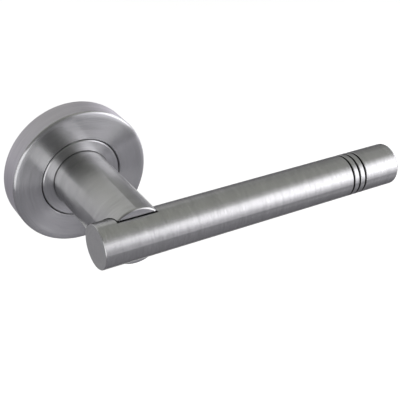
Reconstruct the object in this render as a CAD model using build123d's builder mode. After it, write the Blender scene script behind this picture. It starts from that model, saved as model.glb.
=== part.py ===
"""Sprung door lever: a round grip bar on a round neck, turning in a round rose.

Millimetres. The origin is on the spindle axis in the plane of the door's face. +Y goes into the door,
-Y comes out into the room, the grip bar runs towards +X and +Z is up. Depths are measured from the
door's face out into the room, so a depth of 10 lies at Y = -10.
"""
import os
from math import asin, atan2, cos, degrees, pi, radians, sin, sqrt

from build123d import *

os.makedirs("parts", exist_ok=True)

# Rose cover
rose_diameter = 53.0
rose_depth = 10.0
cover_wall = 1.0
cover_edge_radius = 1.25
cover_standoff = 0.2
cover_hole_chamfer = 0.3

# Collar ring round the root of the neck
collar_diameter = 30.5
collar_thickness = 1.8
collar_gap = 0.4
collar_chamfer = 0.35

# Neck and grip bar
neck_diameter = 22.0
neck_web = 4.5
neck_seat = 0.8
neck_root_gap = 0.3
neck_lip_radius = 0.3
lip_lead = 0.7
saddle_gap = 0.2
seat_radius = 5.0
bar_diameter = 16.0
bar_wall = 2.0
bar_axis_depth = 53.0
bar_near_reach = 15.0
bar_far_reach = 110.0
groove_count = 3
groove_pitch = 2.75
groove_width = 0.8
groove_depth = 0.8
last_groove_from_end = 16.5
cap_head = 3.0
far_cap_spigot = 8.0
near_cap_chamfer = 0.25
far_cap_radius = 1.2
press_clearance = 0.02

# Screw and nut that hold the bar on the neck
screw_diameter = 6.0
screw_head_diameter = 10.0
screw_head_height = 6.0
screw_socket = 5.0
screw_socket_depth = 3.0
screw_hole_clearance = 0.3
screw_tip_margin = 2.0
nut_length = 14.0
nut_end_gap = 0.5
lock_washer_thickness = 1.6
lock_washer_split = 1.2

# Spindle hub
spindle_square = 8.0
spindle_clearance = 0.1
hub_diameter = 14.0
hub_front_gap = 3.0
hub_back_depth = 0.4
hub_back_chamfer = 0.3
grub_diameter = 5.0
grub_from_hub_front = 6.0
grub_sunk = 0.6
grub_socket = 2.5
grub_socket_depth = 2.5

# Bearing and end play
bush_wall = 1.25
bush_flange = 0.8
running_clearance = 0.05
collar_float = 0.2
ring_thickness = 1.0
ring_groove_depth = 0.6
ring_radial_width = 1.5
ring_back_depth = 0.8
ring_opening = 50.0
ring_ear_radius = 0.9
ring_ear_hole = 0.8
disc_washer_height = 0.5
disc_washer_sheet = 0.3
thrust_washer_thickness = 0.6
washer_clearance = 0.1

# Back plate
plate_thickness = 2.4
plate_rim_depth = 4.4
plate_rim_wall = 1.95
cover_fit_gap = 0.25
boss_wall = 0.9
recess_clearance = 0.3
fixing_spacing = 38.0
fixing_hole_diameter = 4.5
fixing_countersink_diameter = 7.8
rib_count = 4
rib_first_angle = 45.0
rib_thickness = 1.4
rib_pin_clearance = 0.6
grip_ring_section = 1.2
grip_ring_gap = 0.1
grip_ring_depth = 2.6
grip_groove_clearance = 0.1

# Return spring, its anchor and the stops
lever_travel = 45.0
pin_diameter = 1.5
pin_seat = 0.8
drive_pin_angle = 202.5
drive_pin_overlap = 1.8
stop_gap = 0.15
spring_wire = 1.4
spring_inner_gap = 0.3
spring_outer_gap = 0.4
spring_coil_angle = 600.0
spring_end_gap = 0.2
spring_pin_gap = 0.1

# Radii and depths that follow from the sizes above
rose_radius = rose_diameter / 2
cover_inner_radius = rose_radius - cover_wall
cover_inner_edge_radius = max(cover_edge_radius - cover_wall, cover_wall / 2)
collar_radius = collar_diameter / 2
collar_back = rose_depth - collar_thickness
neck_radius = neck_diameter / 2
bar_radius = bar_diameter / 2
bar_bore_radius = bar_radius - bar_wall
neck_back = rose_depth - neck_seat
saddle_bottom = bar_axis_depth - bar_radius - press_clearance
saddle_radius = bar_radius + saddle_gap
lip_depth = bar_axis_depth + lip_lead
web_back = saddle_bottom - neck_web
head_front = web_back - lock_washer_thickness
head_back = head_front - screw_head_height
hub_radius = hub_diameter / 2
hub_front = head_back - hub_front_gap
grub_depth = hub_front - grub_from_hub_front
socket_width = spindle_square + 2 * spindle_clearance
screw_radius = screw_diameter / 2
screw_hole_radius = screw_radius + screw_hole_clearance
bush_radius = hub_radius + running_clearance + bush_wall
bush_front = collar_back - collar_float
boss_front = bush_front - bush_flange
ring_outer_radius = hub_radius - ring_groove_depth + ring_radial_width
ring_bore = hub_radius - ring_groove_depth + press_clearance
ear_circle = ring_outer_radius - ring_ear_radius / 2
washer_bore_radius = hub_radius + washer_clearance
washer_outer_radius = ear_circle + ring_ear_radius
ring_front = ring_back_depth + ring_thickness
disc_front = ring_front + disc_washer_height
thrust_front = disc_front + thrust_washer_thickness
recess_floor = thrust_front + washer_clearance
recess_radius = washer_outer_radius + recess_clearance
boss_radius = recess_radius + boss_wall
plate_radius = cover_inner_radius - cover_fit_gap
rim_inner_radius = plate_radius - plate_rim_wall
grip_center_radius = cover_inner_radius - grip_ring_gap - grip_ring_section / 2
grip_groove_radius = grip_center_radius - grip_ring_section / 2 - grip_groove_clearance
grip_groove_half = grip_ring_section / 2 + grip_groove_clearance

# Spring and pins: the coil stands off the boss, the pins off the coil, and the legs end on the pin circle
pin_radius = pin_diameter / 2
wire_radius = spring_wire / 2
coil_radius = boss_radius + spring_inner_gap + wire_radius
pin_circle = coil_radius + wire_radius + spring_outer_gap + pin_radius
spring_leg = sqrt(pin_circle**2 - coil_radius**2)
leg_swing = degrees(atan2(spring_leg, coil_radius))
pin_contact_angle = degrees(2 * asin((pin_diameter + stop_gap) / (2 * pin_circle)))
tip_reach = pin_radius + spring_pin_gap + wire_radius * sin(radians(leg_swing))
tip_contact_angle = degrees(asin(tip_reach / pin_circle))
rest_stop_angle = drive_pin_angle + pin_contact_angle
end_stop_angle = drive_pin_angle - lever_travel - pin_contact_angle
coil_front_angle = drive_pin_angle - tip_contact_angle - leg_swing
coil_back_angle = coil_front_angle - spring_coil_angle
anchor_pin_angle = coil_back_angle - leg_swing - tip_contact_angle

# The coil climbs evenly, and each straight leg climbs at the same slope
coil_length = radians(spring_coil_angle) * coil_radius
spring_first_center = plate_thickness + spring_end_gap + wire_radius
spring_last_center = collar_back - spring_end_gap - wire_radius
spring_slope = (spring_last_center - spring_first_center) / (coil_length + 2 * spring_leg)
coil_back_depth = spring_first_center + spring_slope * spring_leg
coil_front_depth = spring_last_center - spring_slope * spring_leg
stop_pin_front = spring_last_center - 2 * spring_slope * spring_leg - wire_radius - spring_end_gap
drive_pin_back = stop_pin_front - drive_pin_overlap
anchor_pin_front = drive_pin_back - spring_end_gap

# Planes: a face plane looks out into the room, and a turning plane holds a radius against a depth
turning = Plane(origin=(0, 0, 0), x_dir=(1, 0, 0), z_dir=(0, 0, 1))


def face_plane(depth):
    """A plane parallel to the door, at a depth, whose normal points out into the room."""
    return Plane(origin=(0, -depth, 0), x_dir=(1, 0, 0), z_dir=(0, -1, 0))


def bar_section(x):
    """A plane square to the grip bar, at a distance along it, with its origin on the bar's axis."""
    return Plane(origin=(x, -bar_axis_depth, 0), x_dir=(0, 1, 0), z_dir=(1, 0, 0))


def ring_profile(inner, outer, back, front):
    """Half section of a plain ring round the spindle axis, drawn in the turning plane."""
    with Locations(((inner + outer) / 2, -(back + front) / 2)):
        Rectangle(outer - inner, front - back)


def on_circle(radius, angle, depth):
    """A point at an angle round the spindle axis, from +X towards +Z, at a depth."""
    return Vector(radius * cos(radians(angle)), -depth, radius * sin(radians(angle)))


def pin_face(angle, depth, radius):
    """A round face parallel to the door, centred on the pin circle at an angle."""
    with BuildSketch(face_plane(depth)) as face:
        with Locations((pin_circle * cos(radians(angle)), pin_circle * sin(radians(angle)))):
            Circle(radius)
    return face.sketch


def dowel(angle, back, front):
    """A dowel pin parallel to the spindle axis, added to the open part."""
    extrude(pin_face(angle, back, pin_radius), amount=front - back)


def dowel_seat(angle, back, front):
    """The hole that a dowel pin is pressed into, cut from the open part."""
    extrude(pin_face(angle, back, pin_radius + press_clearance), amount=front - back, mode=Mode.SUBTRACT)


# Rose cover: a pressed cap with a rounded front edge and a round hole for the collar
with BuildPart() as rose_cover:
    with BuildSketch(turning):
        ring_profile(0, rose_radius, cover_standoff, rose_depth)
    revolve(axis=Axis.Y)
    fillet(rose_cover.edges().sort_by(Axis.Y)[0], radius=cover_edge_radius)
    with BuildSketch(turning):
        ring_profile(0, cover_inner_radius, cover_standoff, rose_depth - cover_wall)
    revolve(axis=Axis.Y, mode=Mode.SUBTRACT)
    fillet(
        rose_cover.faces().filter_by(Axis.Y).sort_by(Axis.Y)[1].outer_wire().edges(),
        radius=cover_inner_edge_radius,
    )
    with BuildSketch(face_plane(rose_depth - cover_wall)):
        Circle(collar_radius + collar_gap)
    extrude(amount=cover_wall, mode=Mode.SUBTRACT)
    hole_rim = rose_cover.faces().sort_by(Axis.Y)[0].inner_wires().edges()
    chamfer(hole_rim, length=cover_hole_chamfer)
rose_cover.part.label = "rose_cover"
export_step(rose_cover.part, "parts/rose_cover.step")

# Collar ring: pressed on the hub, turns in the hole of the cover, and its front is sunk round the neck's foot
with BuildPart() as collar_ring:
    with BuildSketch(turning):
        ring_profile(hub_radius + press_clearance, collar_radius, collar_back, rose_depth)
    revolve(axis=Axis.Y)
    front_rim = collar_ring.faces().sort_by(Axis.Y)[0].outer_wire().edges()
    chamfer(front_rim, length=collar_chamfer)
    with BuildSketch(face_plane(neck_back)):
        Circle(neck_radius + neck_root_gap)
    extrude(amount=neck_seat, mode=Mode.SUBTRACT)
    dowel_seat(drive_pin_angle, collar_back, collar_back + pin_seat)
collar_ring.part.label = "collar_ring"
export_step(collar_ring.part, "parts/collar_ring.step")

# Neck: a turned shank, bored from behind. The saddle across its front end is milled a little wider than the bar,
# so the bar stands clear of it, except on the round seat at its bottom that the bar is pulled down on
with BuildPart() as neck:
    with BuildSketch(turning):
        ring_profile(0, neck_radius, neck_back, lip_depth)
    revolve(axis=Axis.Y)
    fillet(neck.edges().sort_by(Axis.Y)[0], radius=neck_lip_radius)
    with BuildSketch(bar_section(-neck_radius)):
        Circle(saddle_radius)
    extrude(amount=neck_diameter, mode=Mode.SUBTRACT)
    with BuildSketch(face_plane(web_back)):
        Circle(seat_radius)
    extrude(amount=bar_axis_depth - web_back)
    with BuildSketch(bar_section(-neck_radius)):
        Circle(bar_radius + press_clearance)
    extrude(amount=neck_diameter, mode=Mode.SUBTRACT)
    with BuildSketch(face_plane(neck_back)):
        Circle(hub_radius + press_clearance)
    extrude(amount=web_back - neck_back, mode=Mode.SUBTRACT)
    with BuildSketch(face_plane(web_back)):
        Circle(screw_hole_radius)
    extrude(amount=bar_axis_depth - web_back, mode=Mode.SUBTRACT)
    with BuildSketch(Plane.XY):
        with Locations((0, -grub_depth)):
            Circle(grub_diameter / 2 + press_clearance)
    extrude(amount=-neck_radius, mode=Mode.SUBTRACT)
neck.part.label = "neck"
export_step(neck.part, "parts/neck.step")

# Spindle hub: the journal that turns in the bush, with the square socket for the spindle
with BuildPart() as spindle_hub:
    with BuildSketch(turning):
        ring_profile(0, hub_radius, hub_back_depth, hub_front)
        with Locations((hub_radius, -(ring_back_depth + ring_front) / 2)):
            Rectangle(2 * ring_groove_depth, ring_thickness, mode=Mode.SUBTRACT)
    revolve(axis=Axis.Y)
    with BuildSketch(face_plane(hub_back_depth)):
        Rectangle(socket_width, socket_width)
    extrude(amount=hub_front - hub_back_depth, mode=Mode.SUBTRACT)
    with BuildSketch(Plane.XY):
        with Locations((0, -grub_depth)):
            Circle(grub_diameter / 2 + press_clearance)
    extrude(amount=-hub_radius, mode=Mode.SUBTRACT)
    back_rim = spindle_hub.edges().filter_by(GeomType.CIRCLE).sort_by(Axis.Y)[-1]
    chamfer(back_rim, length=hub_back_chamfer)
spindle_hub.part.label = "spindle_hub"
export_step(spindle_hub.part, "parts/spindle_hub.step")

# Grub screw: a socket set screw in the underside of the neck, its tip level with the socket's wall
grub_head = neck_radius - grub_sunk
with BuildPart() as grub_screw:
    with BuildSketch(Plane.XY.offset(-grub_head)):
        with Locations((0, -grub_depth)):
            Circle(grub_diameter / 2)
    extrude(amount=grub_head - socket_width / 2)
    with BuildSketch(Plane.XY.offset(-grub_head)):
        with Locations((0, -grub_depth)):
            RegularPolygon(grub_socket / 2, 6, major_radius=False)
    extrude(amount=grub_socket_depth, mode=Mode.SUBTRACT)
grub_screw.part.label = "grub_screw"
export_step(grub_screw.part, "parts/grub_screw.step")

# Lock washer: a split spring washer between the screw's head and the web in the neck
with BuildPart() as lock_washer:
    with BuildSketch(face_plane(head_front)):
        Circle(screw_head_diameter / 2)
        Circle(screw_hole_radius, mode=Mode.SUBTRACT)
        with Locations((0, screw_head_diameter / 2)):
            Rectangle(lock_washer_split, screw_head_diameter, mode=Mode.SUBTRACT)
    extrude(amount=lock_washer_thickness)
lock_washer.part.label = "lock_washer"
export_step(lock_washer.part, "parts/lock_washer.step")

# Neck screw: a socket cap screw that goes through the web into the nut in the bar
screw_tip = bar_axis_depth + bar_bore_radius - screw_tip_margin
with BuildPart() as neck_screw:
    with BuildSketch(turning):
        ring_profile(0, screw_head_diameter / 2, head_back, head_front)
        ring_profile(0, screw_radius, head_front, screw_tip)
    revolve(axis=Axis.Y)
    with BuildSketch(face_plane(head_back)):
        RegularPolygon(screw_socket / 2, 6, major_radius=False)
    extrude(amount=screw_socket_depth, mode=Mode.SUBTRACT)
neck_screw.part.label = "neck_screw"
export_step(neck_screw.part, "parts/neck_screw.step")

# Grip bar: a tube between the two end caps, with grooves near the free end and a hole for the screw
tube_start = cap_head - bar_near_reach
tube_end = bar_far_reach - cap_head
with BuildPart() as bar_tube:
    with BuildSketch(bar_section(tube_start)):
        Circle(bar_radius)
        Circle(bar_bore_radius, mode=Mode.SUBTRACT)
    extrude(amount=tube_end - tube_start)
    for index in range(groove_count):
        groove_middle = bar_far_reach - last_groove_from_end - index * groove_pitch
        with BuildSketch(bar_section(groove_middle - groove_width / 2)):
            Circle(bar_radius)
            Circle(bar_radius - groove_depth, mode=Mode.SUBTRACT)
        extrude(amount=groove_width, mode=Mode.SUBTRACT)
    with BuildSketch(face_plane(bar_axis_depth - bar_radius)):
        Circle(screw_hole_radius)
    extrude(amount=bar_radius, mode=Mode.SUBTRACT)
bar_tube.part.label = "bar_tube"
export_step(bar_tube.part, "parts/bar_tube.step")

# Saddle nut: a round bar inside the tube with a cross hole for the screw
with BuildPart() as saddle_nut:
    with BuildSketch(bar_section(-nut_length / 2)):
        Circle(bar_bore_radius - press_clearance)
    extrude(amount=nut_length)
    with BuildSketch(face_plane(bar_axis_depth - bar_radius)):
        Circle(screw_radius + press_clearance)
    extrude(amount=bar_diameter, mode=Mode.SUBTRACT)
saddle_nut.part.label = "saddle_nut"
export_step(saddle_nut.part, "parts/saddle_nut.step")

# End caps: full-size heads on spigots pressed into the tube. The near one reaches to just short of the nut
near_spigot = -tube_start - nut_length / 2 - nut_end_gap
with BuildPart() as near_end_cap:
    with BuildSketch(bar_section(-bar_near_reach)):
        Circle(bar_radius)
    extrude(amount=cap_head)
    with BuildSketch(bar_section(tube_start)):
        Circle(bar_bore_radius - press_clearance)
    extrude(amount=near_spigot)
    chamfer(near_end_cap.edges().sort_by(Axis.X)[0], length=near_cap_chamfer)
near_end_cap.part.label = "near_end_cap"
export_step(near_end_cap.part, "parts/near_end_cap.step")

with BuildPart() as far_end_cap:
    with BuildSketch(bar_section(tube_end)):
        Circle(bar_radius)
    extrude(amount=cap_head)
    with BuildSketch(bar_section(tube_end - far_cap_spigot)):
        Circle(bar_bore_radius - press_clearance)
    extrude(amount=far_cap_spigot)
    fillet(far_end_cap.edges().sort_by(Axis.X)[-1], radius=far_cap_radius)
far_end_cap.part.label = "far_end_cap"
export_step(far_end_cap.part, "parts/far_end_cap.step")

# Bearing bush: a flanged sleeve pressed into the boss of the plate
with BuildPart() as bearing_bush:
    bush_bore = hub_radius + running_clearance
    with BuildSketch(turning):
        ring_profile(bush_bore, bush_radius, recess_floor, bush_front)
        ring_profile(bush_bore, boss_radius, boss_front, bush_front)
    revolve(axis=Axis.Y)
bearing_bush.part.label = "bearing_bush"
export_step(bearing_bush.part, "parts/bearing_bush.step")

# Thrust washer: runs on the back of the bush
with BuildPart() as thrust_washer:
    with BuildSketch(turning):
        ring_profile(washer_bore_radius, washer_outer_radius, disc_front, thrust_front)
    revolve(axis=Axis.Y)
thrust_washer.part.label = "thrust_washer"
export_step(thrust_washer.part, "parts/thrust_washer.step")

# Disc washer: a coned spring washer between the thrust washer and the retaining ring
with BuildPart() as disc_washer:
    with BuildSketch(turning):
        with BuildLine():
            Polyline(
                (washer_bore_radius, -ring_front),
                (washer_outer_radius, -(disc_front - disc_washer_sheet)),
                (washer_outer_radius, -disc_front),
                (washer_bore_radius, -(ring_front + disc_washer_sheet)),
                close=True,
            )
        make_face()
    revolve(axis=Axis.Y)
disc_washer.part.label = "disc_washer"
export_step(disc_washer.part, "parts/disc_washer.step")

# Retaining ring: an open spring ring in the hub's groove, with an eared opening below
with BuildPart() as retaining_ring:
    with BuildSketch(face_plane(ring_back_depth + press_clearance)):
        Circle(ring_outer_radius)
        with PolarLocations(ear_circle, 2, start_angle=270 - ring_opening / 2, angular_range=ring_opening,
                            endpoint=True):
            Circle(ring_ear_radius)
        Circle(ring_bore, mode=Mode.SUBTRACT)
        with BuildLine():
            opening_edge = ring_opening / 2 - degrees(asin(ring_ear_radius / ear_circle))
            far = 2 * hub_radius
            Polyline(
                (0, 0),
                (far * cos(radians(270 - opening_edge)), far * sin(radians(270 - opening_edge))),
                (far * cos(radians(270 + opening_edge)), far * sin(radians(270 + opening_edge))),
                close=True,
            )
        make_face(mode=Mode.SUBTRACT)
        with PolarLocations(ear_circle, 2, start_angle=270 - ring_opening / 2, angular_range=ring_opening,
                            endpoint=True):
            Circle(ring_ear_hole / 2, mode=Mode.SUBTRACT)
    extrude(amount=ring_thickness - 2 * press_clearance)
retaining_ring.part.label = "retaining_ring"
export_step(retaining_ring.part, "parts/retaining_ring.step")

# Back plate: a cast plate with a boss for the bush, a grooved rim for the cover and two fixing holes
with BuildPart() as back_plate:
    with BuildSketch(turning):
        ring_profile(0, plate_radius, 0, plate_thickness)
        ring_profile(rim_inner_radius, plate_radius, 0, plate_rim_depth)
        ring_profile(0, boss_radius, 0, boss_front)
        with Locations((plate_radius, -grip_ring_depth)):
            Rectangle(2 * (plate_radius - grip_groove_radius), 2 * grip_groove_half, mode=Mode.SUBTRACT)
    revolve(axis=Axis.Y)
    rib_start = pin_circle + pin_radius + rib_pin_clearance
    with BuildSketch(face_plane(plate_thickness)):
        with PolarLocations(0, rib_count, start_angle=rib_first_angle):
            with Locations(((rib_start + rim_inner_radius + plate_rim_wall / 4) / 2, 0)):
                Rectangle(rim_inner_radius + plate_rim_wall / 4 - rib_start, rib_thickness)
    extrude(amount=plate_rim_depth - plate_thickness)
    with BuildSketch(face_plane(0)):
        Circle(recess_radius)
    extrude(amount=recess_floor, mode=Mode.SUBTRACT)
    with BuildSketch(face_plane(recess_floor)):
        Circle(bush_radius + press_clearance)
    extrude(amount=boss_front - recess_floor, mode=Mode.SUBTRACT)
    with Locations(face_plane(plate_thickness)):
        with GridLocations(fixing_spacing, fixing_spacing, 1, 2):
            CounterSinkHole(fixing_hole_diameter / 2, fixing_countersink_diameter / 2, depth=plate_thickness)
    for angle in (rest_stop_angle, end_stop_angle, anchor_pin_angle):
        dowel_seat(angle, plate_thickness - pin_seat, plate_thickness)
back_plate.part.label = "back_plate"
export_step(back_plate.part, "parts/back_plate.step")

# Grip ring: a rubber ring in the plate's rim that the cover is pushed over
with BuildPart() as cover_grip_ring:
    with BuildSketch(turning):
        with Locations((grip_center_radius, -grip_ring_depth)):
            Circle(grip_ring_section / 2)
    revolve(axis=Axis.Y)
cover_grip_ring.part.label = "cover_grip_ring"
export_step(cover_grip_ring.part, "parts/cover_grip_ring.step")

# Stop pins: one stops the lever at rest and one at the end of its travel
with BuildPart() as stop_pins:
    for angle in (rest_stop_angle, end_stop_angle):
        dowel(angle, plate_thickness - pin_seat, stop_pin_front)
stop_pins.part.label = "stop_pins"
export_step(stop_pins.part, "parts/stop_pins.step")

# Spring anchor pin: carries the fixed end of the spring, and is short enough for the drive pin to pass over
with BuildPart() as spring_anchor_pin:
    dowel(anchor_pin_angle, plate_thickness - pin_seat, anchor_pin_front)
spring_anchor_pin.part.label = "spring_anchor_pin"
export_step(spring_anchor_pin.part, "parts/spring_anchor_pin.step")

# Drive pin: pressed into the back of the collar, pushed by the spring, runs between the stop pins
with BuildPart() as drive_pin:
    dowel(drive_pin_angle, drive_pin_back, collar_back + pin_seat)
drive_pin.part.label = "drive_pin"
export_step(drive_pin.part, "parts/drive_pin.step")


def coil_point(angle):
    """A point on the coil's centre line, which climbs evenly from its back end to its front end."""
    climb = (angle - coil_back_angle) / spring_coil_angle
    return on_circle(coil_radius, angle, coil_back_depth + climb * (coil_front_depth - coil_back_depth))


def coil_tangent(angle):
    """The coil's direction there, as a unit vector."""
    flat = Vector(-sin(radians(angle)), 0, cos(radians(angle)))
    return (flat + Vector(0, -spring_slope, 0)).normalized()


def biarc_joint(start, start_dir, end, end_dir):
    """Where two equal-reach arcs meet that leave one point and reach another along given directions."""
    chord = end - start
    both = start_dir + end_dir
    square = 2 * (1 - start_dir.dot(end_dir))
    along = chord.dot(both)
    reach = (sqrt(along * along + square * chord.dot(chord)) - along) / square
    return (start + end + (start_dir - end_dir) * reach) * 0.5


# Return spring: straight legs at both ends of the coil, and two arcs for each stretch of up to a quarter turn
stretches = int(spring_coil_angle // 90) + 1
stretch_angles = [coil_back_angle + spring_coil_angle * k / stretches for k in range(stretches + 1)]
with BuildPart() as return_spring:
    with BuildLine() as spring_line:
        back_end = coil_point(coil_back_angle)
        front_end = coil_point(coil_front_angle)
        leg_tip = back_end - coil_tangent(coil_back_angle) * spring_leg
        Line(leg_tip, back_end)
        for first, last in zip(stretch_angles, stretch_angles[1:]):
            joint = biarc_joint(coil_point(first), coil_tangent(first), coil_point(last), coil_tangent(last))
            arc = TangentArc(coil_point(first), joint, tangent=coil_tangent(first))
            TangentArc(joint, coil_point(last), tangent=arc % 1)
        Line(front_end, front_end + coil_tangent(coil_front_angle) * spring_leg)
    with BuildSketch(Plane(origin=leg_tip, z_dir=coil_tangent(coil_back_angle))):
        Circle(wire_radius)
    sweep(path=spring_line.wire())
return_spring.part.label = "return_spring"
export_step(return_spring.part, "parts/return_spring.step")

# The spring's least gap to itself, measured between points a good part of a turn apart
turn_points = [coil_point(coil_back_angle + step) for step in range(int(spring_coil_angle))]
least = min(
    (here - there).length
    for index, here in enumerate(turn_points)
    for there in turn_points[index + 180:]
)
wire_length = spring_line.wire().length
wire_volume = pi * wire_radius**2 * wire_length
print(f"spring: least gap {least - spring_wire:.2f} mm, wire {wire_length:.1f} mm long")
print(f"spring: volume over section times length {return_spring.part.volume / wire_volume:.4f}")
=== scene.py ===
import bmesh
import bpy
import numpy as np
from mathutils import Matrix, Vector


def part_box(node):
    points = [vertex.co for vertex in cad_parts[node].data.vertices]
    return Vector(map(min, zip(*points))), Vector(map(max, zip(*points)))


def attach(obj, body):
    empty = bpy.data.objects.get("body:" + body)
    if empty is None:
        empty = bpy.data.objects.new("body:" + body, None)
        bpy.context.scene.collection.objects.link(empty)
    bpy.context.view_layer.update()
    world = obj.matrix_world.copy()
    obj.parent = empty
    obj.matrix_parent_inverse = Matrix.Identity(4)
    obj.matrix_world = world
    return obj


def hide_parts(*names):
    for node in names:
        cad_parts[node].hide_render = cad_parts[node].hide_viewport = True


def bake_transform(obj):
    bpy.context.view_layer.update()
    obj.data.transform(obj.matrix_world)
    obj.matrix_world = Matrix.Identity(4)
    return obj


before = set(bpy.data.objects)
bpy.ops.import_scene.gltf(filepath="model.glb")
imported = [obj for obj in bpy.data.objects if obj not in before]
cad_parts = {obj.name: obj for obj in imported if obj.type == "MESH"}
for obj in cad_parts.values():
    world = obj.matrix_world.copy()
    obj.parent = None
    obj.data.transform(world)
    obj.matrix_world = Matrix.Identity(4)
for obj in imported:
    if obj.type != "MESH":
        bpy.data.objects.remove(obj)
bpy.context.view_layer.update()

MM = 0.001


# Back plate: a die-cast zinc disc screwed flat to the door. It has the bearing boss, the grooved rim that
# the cover is pushed over, four ribs and two countersunk holes, and is left as cast.
def smooth_copy(node, crease_degrees=28):
    """A copy of a CAD solid's surface with its triangles joined, smooth except at edges over a crease."""
    join_distance = 0.0001 * MM
    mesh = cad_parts[node].data.copy()
    mesh.attributes.remove(mesh.attributes["custom_normal"])
    joined = bmesh.new()
    joined.from_mesh(mesh)
    bmesh.ops.remove_doubles(joined, verts=joined.verts, dist=join_distance)
    joined.to_mesh(mesh)
    joined.free()
    mesh.materials.clear()
    mesh.shade_smooth()
    mesh.set_sharp_from_angle(angle=np.radians(crease_degrees))
    return mesh


def place(name, mesh, material, body, slot, *nodes):
    """Puts a finished mesh in the scene as one piece that rides on a body and stands for its CAD nodes."""
    piece = bpy.data.objects.new(name, mesh)
    bpy.context.collection.objects.link(piece)
    mesh.materials.append(material)
    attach(piece, body)
    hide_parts(*nodes)
    return piece


def add(tree, kind, values=(), **settings):
    """A new node of a kind, with its settings by name and its input values by socket."""
    node = tree.nodes.new(kind)
    for key, value in settings.items():
        setattr(node, key, value)
    for socket, value in dict(values).items():
        node.inputs[socket].default_value = value
    return node


def finish_of(name, colour, metallic, roughness):
    """A new material with plain values: the material, its node tree and its shader."""
    material = bpy.data.materials.new(name)
    material.use_nodes = True
    shader = material.node_tree.nodes["Principled BSDF"]
    shader.inputs["Base Color"].default_value = (*colour, 1)
    shader.inputs["Metallic"].default_value = metallic
    shader.inputs["Roughness"].default_value = roughness
    return material, material.node_tree, shader


def between(tree, mask, low, high):
    """Turns a mask of 0 to 1 into a value from low to high."""
    span = add(tree, "ShaderNodeMapRange", {"To Min": low, "To Max": high})
    tree.links.new(mask, span.inputs["Value"])
    return span.outputs["Result"]


def shade_of(tree, mask, dark, light, low=0.0, high=1.0):
    """Mixes a dark and a light colour by a mask, over the part of the mask from low to high."""
    ramp = add(tree, "ShaderNodeValToRGB")
    ramp.color_ramp.elements[0].color = (*dark, 1)
    ramp.color_ramp.elements[1].color = (*light, 1)
    ramp.color_ramp.elements[0].position = low
    ramp.color_ramp.elements[1].position = high
    tree.links.new(mask, ramp.inputs["Fac"])
    return ramp.outputs["Color"]


def raised(tree, shader, height, distance):
    """Raises the shaded surface by a mask, up to a distance."""
    bump = add(tree, "ShaderNodeBump", {"Distance": distance})
    tree.links.new(height, bump.inputs["Height"])
    tree.links.new(bump.outputs["Normal"], shader.inputs["Normal"])


def speckle(tree, scale, detail):
    """A noise over the piece's own coordinates, as a mask."""
    noise = add(tree, "ShaderNodeTexNoise", {"Scale": scale, "Detail": detail})
    tree.links.new(add(tree, "ShaderNodeTexCoord").outputs["Object"], noise.inputs["Vector"])
    return noise.outputs["Fac"]


zinc, tree, shader = finish_of("cast_zinc", (0.50, 0.51, 0.53), metallic=1.0, roughness=0.5)
cast_flow = speckle(tree, scale=160.0, detail=2.0)
tree.links.new(shade_of(tree, cast_flow, (0.36, 0.37, 0.39), (0.62, 0.63, 0.64)), shader.inputs["Base Color"])
tree.links.new(between(tree, cast_flow, 0.36, 0.62), shader.inputs["Roughness"])
raised(tree, shader, speckle(tree, scale=1400.0, detail=4.0), 0.04 * MM)
place("plate", smooth_copy("back_plate"), zinc, "base", "cast_zinc", "back_plate")


# Bearing: a flanged nylon bush pressed into the boss, and the nylon washer that runs on the back of it.
# Both are moulded, with a fine matt skin and a slight warm tint.
def outline_of(corners, rounds, arc_steps):
    """Rounds the corners of an outline given as (radius, place along the axis), anticlockwise.

    The two edges that meet at a corner have outward normals before and after. The centre of its arc lies
    back from the corner along their sum, by the rounding over one plus their dot product, and the arc's
    points step out from the centre along normals that turn evenly from before to after. An outline whose
    ends lie on the axis stays open there. Returns the points and their normals.
    """
    corner = np.array(corners, float)
    ends_on_axis = corner[0, 0] == 0
    edge = np.diff(corner if ends_on_axis else np.vstack([corner, corner[:1]]), axis=0)
    edge /= np.linalg.norm(edge, axis=1, keepdims=True)
    outward = np.stack([edge[:, 1], -edge[:, 0]], axis=1)
    before = outward[:-1] if ends_on_axis else np.roll(outward, 1, axis=0)
    after = outward[1:] if ends_on_axis else outward
    bent = corner[1:-1] if ends_on_axis else corner
    dot = np.sum(before * after, axis=1)
    turn = np.arctan2(before[:, 0] * after[:, 1] - before[:, 1] * after[:, 0], dot)
    reach = np.sign(turn) * np.array(rounds, float)
    centre = bent - (reach / (1 + dot))[:, None] * (before + after)
    angle = turn[:, None] * np.linspace(0, 1, arc_steps)
    x, y = before[:, 0, None], before[:, 1, None]
    normal = np.stack([np.cos(angle) * x - np.sin(angle) * y, np.sin(angle) * x + np.cos(angle) * y], axis=2)
    point = (centre[:, None] + reach[:, None, None] * normal).reshape(-1, 2)
    normal = normal.reshape(-1, 2)
    if ends_on_axis:
        point = np.vstack([corner[:1], point, corner[-1:]])
        normal = np.vstack([outward[:1], normal, outward[-1:]])
    return point, normal


def panels(grid):
    """The four corners of each panel of a grid, in order round the panel."""
    return np.stack([grid[:-1, :-1], grid[:-1, 1:], grid[1:, 1:], grid[1:, :-1]], axis=2)


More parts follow.
